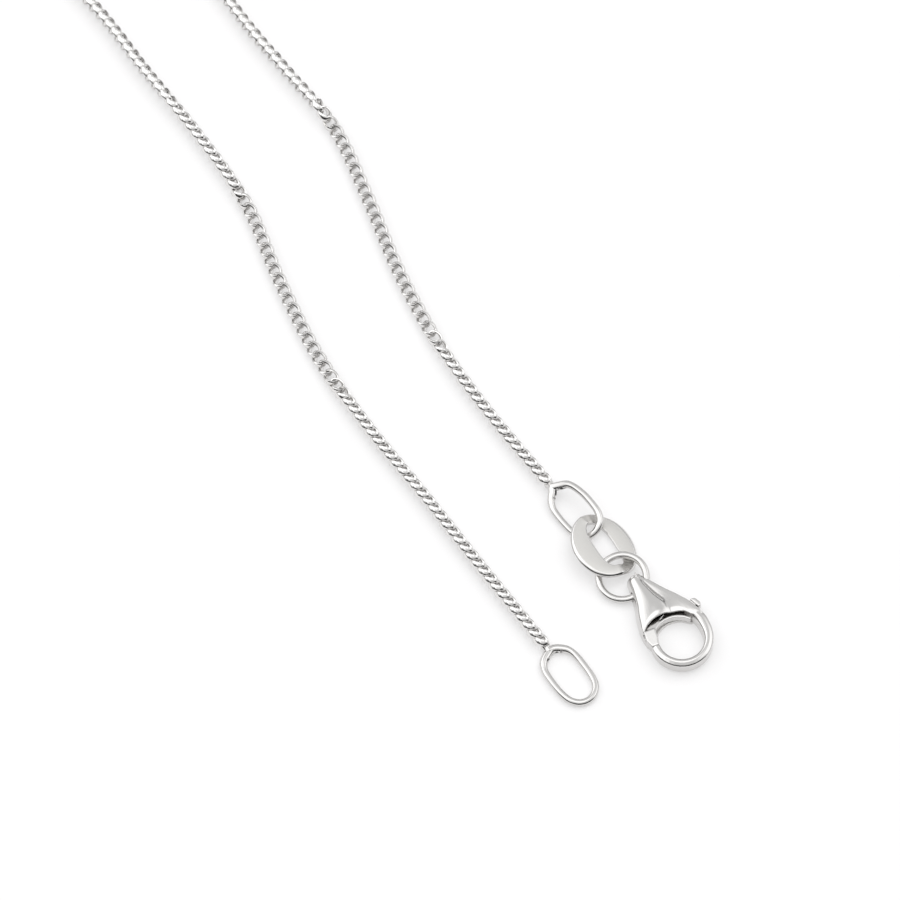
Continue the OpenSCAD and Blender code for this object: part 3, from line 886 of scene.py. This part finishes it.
class EndRingsOperator(bpy.types.Operator):
    """Makes the two oval end rings with their soldered stubs"""

    bl_idname = "necklace.end_rings"
    bl_label = "End rings"

    def ring(self, name, node, size, line, place_at, end, matrix):
        """One end ring along its own outline, with the solder to its end of the chain."""
        steps, spacing = 12, 0.00009
        bend = curve([line[-1], *line, line[0]], steps)[steps:-1] / PER_METRE
        path = evenly([Vector((x, y, 0)) for x, y in bend], spacing, True)
        radii = [size.wire / 2 * (1 + size.swell * (1 - smooth_step(*SWELL_FADES, p.x)))
                 for p in path]
        wire = skin(tube(path, radii, RING_SIDES, True), closed=True)
        points = [matrix @ Vector(p) for p in wire[0]]
        # The swelling doesn't go below the surface
        points = [(p.x, p.y, max(0.0, p.z)) for p in points]
        overlap = 0.0001
        apex = matrix @ Vector((overlap, 0, 0))
        chain_end = Vector((*end, size.solder_height))
        away = (chain_end - apex).normalized()
        last = len(SOLDER) - 1
        way = [apex.lerp(chain_end + away * size.grip, k / last) for k in range(last + 1)]
        thick = [radius / PER_METRE for radius in SOLDER]
        solder = skin(tube(way, thick, SOLDER_SIDES, False))
        made = mesh_object(name, [(points, wire[1]), solder])
        shade(made, 60)
        middle = matrix @ Vector((size.span / 2, 0, 0))
        marks = []
        for vertex in made.data.vertices:
            near = 1 - smooth_step(*MARK_FADES, (vertex.co - place_at).to_2d().length)
            inward = vertex.normal.dot((middle - vertex.co).normalized())
            blot = noise.noise(vertex.co * MARK_SCALE)
            marks.append(near * smooth_step(*MARK_FACES, inward) * smooth_step(*MARK_LEVELS, blot))
        store(made, "mark", marks)
        place(made, "necklace", "polished_silver", [finishes()["bright_silver"]], node)

    def execute(self, context):
        size = context.scene.necklace_rings
        side = size.width / 2
        plain = turned(PLAIN_APEX, PLAIN_RING_TURN, 0.0, size.wire / 2)
        lift = size.wire / 2 + side * math.sin(size.roll)
        leaning = turned(CLASP_APEX, CLASP_RING_TURN, math.degrees(size.roll), lift)
        self.ring("end_ring_plain_side", "plain_end_ring", size, PLAIN_RING, PLAIN_APEX, ROUTE[0],
                  plain)
        self.ring("end_ring_clasp_side", "clasp_end_ring", size, CLASP_RING, CLASP_APEX, ROUTE[-1],
                  leaning)
        return {"FINISHED"}


class TagLinkOperator(bpy.types.Operator):
    """Makes the flat oval link with its raised arm, satin faces and polished rim"""

    bl_idname = "necklace.tag_link"
    bl_label = "Tag link"

    def oval(self, length, width, power, turn):
        """Point at a turn of an oval of a squareness."""
        c, s = math.cos(turn), math.sin(turn)
        return Vector((length / 2 * math.copysign(abs(c) ** (2 / power), c),
                       width / 2 * math.copysign(abs(s) ** (2 / power), s)))

    def execute(self, context):
        size = context.scene.necklace_tag
        up = size.thickness / 2
        count = 160
        rows = []
        for i in range(count):
            turn = 360 * i / count
            lean = turn - 360 if turn >= 270 else turn
            if lean < 90:
                rise = (TAG_DOWN[1] - lean) / (TAG_DOWN[1] - TAG_DOWN[0])
            else:
                rise = (lean - TAG_UP[0]) / (TAG_UP[1] - TAG_UP[0])
            rise = min(1.0, max(0.0, rise)) ** TAG_BEND
            hole = self.oval(size.hole_span, size.hole_width, TAG_HOLE_POWER, math.radians(turn))
            rim = self.oval(size.span, size.width, TAG_RIM_POWER, math.radians(turn))
            rim.y *= TAG_LOWER_ARM if turn > 180 else 1.0
            height = up + size.low + (size.raised - size.low) * rise
            rows.append([Vector((*hole.lerp(rim, s), height + up * z)) for s, z in TAG_SECTION])
        tag = mesh_object("tag_link_satin", [skin(rows, closed=True)], turned(TAG_AT, TAG_TURN))
        metals = finishes()
        place(tag, "necklace", "satin_silver", [metals["bright_silver"], metals["matt_silver"]],
              "tag_link")
        for i, face in enumerate(tag.data.polygons):
            if i % len(TAG_SECTION) in TAG_SATIN:
                face.material_index = 1
        shade(tag, 28)
        return {"FINISHED"}


class JumpRingOperator(bpy.types.Operator):
    """Makes the round jump ring with its fine seam"""

    bl_idname = "necklace.jump_ring"
    bl_label = "Jump ring"

    def execute(self, context):
        size = context.scene.necklace_rings
        middle = (size.jump_outer - size.wire) / 2
        count, start = 120, 0.4
        seam, beside, narrow = 205.0, 0.3, 0.94
        turns = sorted([360 * k / count + start for k in range(count)]
                       + [seam - beside, seam, seam + beside])
        path = [polar(math.radians(a), middle).to_3d() for a in turns]
        radii = [size.wire / 2 * (narrow if a == seam else 1.0) for a in turns]
        wire = skin(tube(path, radii, JUMP_SIDES, True), closed=True)
        ring = mesh_object("jump_ring_round", [wire], jump_ring_place(size))
        shade(ring, 60)
        place(ring, "necklace", "polished_silver", [finishes()["bright_silver"]], "jump_ring")
        return {"FINISHED"}


class ClaspOperator(bpy.types.Operator):
    """Makes the clasp's hollow domed body with its hook and eye"""

    bl_idname = "necklace.clasp"
    bl_label = "Clasp body"

    def section(self, row, size):
        """Outline of the body across its length, in mm, at one row of DOME."""
        wide, tall = size.width * PER_METRE, size.height * PER_METRE
        left, right, ridge_left, ridge_right = (part * wide for part in row[1:5])
        top = row[5] * tall
        inner, outer, groove = (part * top for part in row[6:9])
        low, high = (ridge_left * (1 - k) + ridge_right * k for k in (0.48, 0.8))
        corners = [(left, 0.0, 0.1), (left, top * 0.50, 1.0),
                   (ridge_left * 0.8 + left * 0.2, top * 0.86, 1.0), (low, top * 1.03, 1.0),
                   (high, top * 0.99, 1.0), (ridge_right - 0.06, inner + groove * 0.4, 0.5),
                   (ridge_right + 0.03, inner - groove, 0.3), (ridge_right + 0.12, inner, 0.6),
                   (right - 0.30, outer, 1.0), (right, outer * 0.93, 0.7), (right, 0.0, 0.1)]
        corners += [(right + (left - right) * k / FLOOR_POINTS, 0.0, 0.0)
                    for k in range(1, FLOOR_POINTS)]
        return softened(corners, 5)

    def shell(self, size):
        """The hollow body, cut off at its lip."""
        reach = size.reach * PER_METRE
        opening = size.opening * PER_METRE / 2
        stations = curve(DOME, 8)
        grid = []
        nose = self.section(stations[0], size)
        middle = sum(nose, Vector((0, 0))) / len(nose)
        for back, keep in NOSE:
            grid.append([Vector((-reach - back, *middle.lerp(p, keep))) for p in nose])
        for row in stations:
            x = (row[0] - 1) * reach
            grid.append([Vector((x, *p)) for p in self.section(row, size)])
        count = 64
        rails = []
        tall = size.height * PER_METRE
        lip = curve(LIP, 8).T
        for k in range(len(grid[0])):
            rail = [row[k] for row in grid]
            ends = len(rail) - 1
            for i, p in enumerate(rail):
                high = smooth_step(*LIP_RISE, p.z / tall)
                hole = (opening * FLOOR_OPENING) ** 2 - p.y ** 2
                floor = -math.sqrt(hole) if hole > 0 else 0.0
                roof = float(np.interp(p.y, *lip, right=0.0))
                edge = floor + (roof - floor) * high
                if p.x > edge and i:
                    q = rail[i - 1]
                    ends = i - 1 + min(1.0, max(0.0, (edge - q.x) / (p.x - q.x)))
                    break
            at = np.linspace(0, ends, count)
            values = np.array([tuple(p) for p in rail])
            rail = np.stack([np.interp(at, range(len(rail)), c) for c in values.T], 1)
            roll = np.clip((rail[:, 0] - rail[-1, 0] + LIP_ROLL) / LIP_ROLL, 0, 1) ** 2
            rail[:, 2] -= LIP_DROP * roll * smooth_step(*ROLL_RISE, rail[-1, 2] / tall)
            rails.append(rail)
        rows = [[Vector(rail[i]) for rail in rails] for i in range(count)]
        points, faces = skin(rows, caps=False)
        faces.append(tuple(reversed(range(len(rows[0])))))
        body = mesh_object("clasp_shell", [(points, faces)])
        apply_modifiers(body, ("SOLIDIFY", {"thickness": size.wall * PER_METRE, "offset": -1.0}))
        return body

    def hook(self, size):
        """The bar of the hook."""
        opening = size.opening * PER_METRE / 2
        bar, tall = size.bar * PER_METRE, size.bar_height * PER_METRE
        outline = softened(HOOK_SECTION, 4)
        rows = []
        for turn, inner, wide in curve(HOOK, 10):
            c, s = math.cos(math.radians(turn)), math.sin(math.radians(turn))
            outward = [inner * opening + bar * wide * q.x for q in outline]
            rows.append([Vector((r * c, r * s, tall * q.y)) for r, q in zip(outward, outline)])
        return skin(rows)

    def eye(self, size, rings, matrix):
        """The room that the jump ring has in the clasp's eye."""
        middle = (rings.jump_outer - rings.wire) / 2
        path = circle(middle, 96)
        radii = [rings.wire / 2 + size.room] * len(path)
        to_clasp = Matrix.Scale(PER_METRE, 4) @ matrix.inverted() @ jump_ring_place(rings)
        room = skin(tube(path, radii, RING_SIDES, True), closed=True)
        return mesh_object("eye", [room], to_clasp)

    def slot(self, size):
        """The slot that the knob moves in."""
        opening = size.opening * PER_METRE / 2
        pivot = PIVOT * opening
        knob = KNOB * opening - pivot
        before, swing, depth, steps = 0.16, 0.66, 1.6, 12
        first = math.atan2(knob.y, knob.x) - before
        inner, outer = knob.length - depth, knob.length + depth
        sweep = [first + swing * k / steps for k in range(steps + 1)]
        outline = [pivot + polar(a, inner) for a in sweep]
        outline += [pivot + polar(a, outer) for a in sweep[::-1]]
        return mesh_object("slot", [skin([[(p.x, p.y, z) for p in outline]
                                          for z in SLOT_LEVELS])])

    def execute(self, context):
        size = context.scene.necklace_clasp
        rings = context.scene.necklace_rings
        matrix = turned(CLASP_AT, CLASP_TURN)
        body = self.shell(size)
        apply_modifiers(body, ("REMESH", {"mode": "VOXEL",
                                          "voxel_size": size.grain * PER_METRE}))
        hook = mesh_object("hook", [self.hook(size)])
        apply_modifiers(body, ("BOOLEAN", {"operation": "UNION", "solver": "EXACT",
                                           "object": hook}))
        bpy.data.objects.remove(hook)
        carve(body, self.eye(size, rings, matrix), self.slot(size))
        body.name = "clasp_body_cast"
        cast(body, size.grain * PER_METRE, 3, matrix)
        self.shade_and_dulling(body, size, matrix)
        place(body, "necklace", "polished_silver", [finishes()["bright_silver"]], "clasp_body")
        return {"FINISHED"}

    def shade_and_dulling(self, body, size, matrix):
        """Paints shade, with more roughness, on the hollow inside and along the groove by the ridge,
        by where each point is, in mm, and how it faces.
        """
        back = matrix.inverted()
        turn = back.to_3x3()
        spread = [row[0] for row in DOME]
        values = []
        for vertex in body.data.vertices:
            p = back @ vertex.co * PER_METRE
            n = turn @ vertex.normal
            # Painted shade on the roof, floor and walls of the hollow inside
            roof = smooth_step(*ROOF_FACES, -n.z) * smooth_step(*ROOF_LEVELS, p.z)
            floor = smooth_step(*FLOOR_FACES, n.z) * (1 - smooth_step(*FLOOR_LEVELS, p.z))
            walls = smooth_step(*WALL_FACES, -n.y * math.copysign(1, p.y))
            walls *= smooth_step(*WALL_LEVELS, p.z)
            inside = max(roof, floor, walls) * smooth_step(*INSIDE_RADII, math.hypot(p.x, p.y))
            inside *= smooth_step(*INSIDE_BACK, -p.x)
            along = p.x / (size.reach * PER_METRE) + 1
            ridge, depth = (float(np.interp(along, spread, [row[k] for row in DOME]))
                            for k in (4, 8))
            # Painted dark line, as shade, along the groove beside the ridge
            away = abs(p.y - ridge * size.width * PER_METRE - GROOVE_ASIDE)
            groove = (1 - smooth_step(*GROOVE_FADES, away)) * smooth_step(*GROOVE_LEVELS, p.z)
            groove *= smooth_step(*GROOVE_DEPTHS, depth) * GROOVE_SHADE_AND_DULLING
            values.append(max(inside, groove))
        store(body, "shade_and_dulling", values)


class LeverOperator(bpy.types.Operator):
    """Makes the clasp's sprung lever: gate, arm, boss and thumb knob"""

    bl_idname = "necklace.lever"
    bl_label = "Clasp lever"

    def strip(self, line, wide):
        """Outline of a strip of a width along a line."""
        left, right = [], []
        for i, p in enumerate(line):
            along = (line[min(i + 1, len(line) - 1)] - line[max(i - 1, 0)]).normalized()
            aside = Vector((-along.y, along.x)) * wide / 2
            left.append(p - aside)
            right.append(p + aside)
        return left + right[::-1]

    def sloped(self, rows, slope):
        """Rows whose upper points fall gently towards the hook."""
        middle = sum((Vector(p) for p in rows[-1]), Vector()) / len(rows[-1])
        a, b = FALL_WAY
        return [[(x, y, z - (z > 1) * slope * (a * (x - middle.x) + b * (y - middle.y)))
                 for x, y, z in row] for row in rows]

    def execute(self, context):
        size = context.scene.necklace_clasp
        opening = size.opening * PER_METRE / 2
        pivot = PIVOT * opening
        knob = KNOB * opening
        boss = [pivot + p.to_2d() for p in circle(BOSS_RADIUS, 40)]
        gate = round_corners(GATE, 4)
        arm = [Vector(p) for p in ARM]
        arch = [polar(math.radians(a), r) for a, r in np.linspace(*ARCH, 10)]
        steps = 6
        trigger = [pivot.lerp(knob, k / steps) for k in range(steps + 1)]
        bean = round_corners(BEAN, 5)
        solids = [self.sloped(prism(gate, *GATE_LEVELS), GATE_FALL), prism(arm, *ARM_LEVELS),
                  prism(boss, *ARM_LEVELS), prism(self.strip(arch, ARCH_WIDTH), *ARM_LEVELS),
                  prism(self.strip(trigger, TRIGGER_WIDTH), *TRIGGER_LEVELS),
                  self.sloped(prism(bean, *KNOB_LEVELS), KNOB_FALL)]
        lever = mesh_object("clasp_lever_cast", [skin(rows) for rows in solids])
        cast(lever, size.grain * PER_METRE, 2, turned(CLASP_AT, CLASP_TURN))
        place(lever, "lever", "polished_silver", [finishes()["bright_silver"]], "clasp_lever")
        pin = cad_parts["lever_pin"]
        pin.data.materials.clear()
        pin.data.materials.append(finishes()["bright_silver"])
        return {"FINISHED"}


class NecklacePanel(bpy.types.Panel):
    """Lists the necklace's pieces and sizes in the sidebar"""

    bl_idname = "VIEW3D_PT_necklace"
    bl_label = "Curb chain necklace"
    bl_space_type = "VIEW_3D"
    bl_region_type = "UI"
    bl_category = "Necklace"

    def draw(self, context):
        for operator in OPERATORS:
            self.layout.operator(operator.bl_idname)
        for name in GROUPS:
            box = self.layout.box()
            group = getattr(context.scene, name)
            for setting in group.bl_rna.properties:
                if setting.identifier not in ("rna_type", "name"):
                    box.prop(group, setting.identifier)


GROUPS = {
    "necklace_chain": NecklaceChain,
    "necklace_rings": NecklaceRings,
    "necklace_tag": NecklaceTag,
    "necklace_clasp": NecklaceClasp,
    "necklace_finish": NecklaceFinish,
    "necklace_stage": NecklaceStage,
}
OPERATORS = (StageOperator, ChainOperator, EndRingsOperator, TagLinkOperator, JumpRingOperator,
             ClaspOperator, LeverOperator)


def register():
    """Registers the settings, the operators and the panel."""
    for name, group in GROUPS.items():
        bpy.utils.register_class(group)
        setattr(bpy.types.Scene, name, PointerProperty(type=group))
    for operator in OPERATORS:
        bpy.utils.register_class(operator)
    bpy.utils.register_class(NecklacePanel)


def unregister():
    """Takes back what register did."""
    bpy.utils.unregister_class(NecklacePanel)
    for operator in reversed(OPERATORS):
        bpy.utils.unregister_class(operator)
    for name, group in reversed(GROUPS.items()):
        delattr(bpy.types.Scene, name)
        bpy.utils.unregister_class(group)


def main():
    """Builds every piece on the frame."""
    register()
    bpy.ops.necklace.stage()
    bpy.ops.necklace.chain()
    bpy.ops.necklace.end_rings()
    bpy.ops.necklace.tag_link()
    bpy.ops.necklace.jump_ring()
    bpy.ops.necklace.clasp()
    bpy.ops.necklace.lever()
    bpy.context.view_layer.update()


if __name__ == "__main__":
    main()
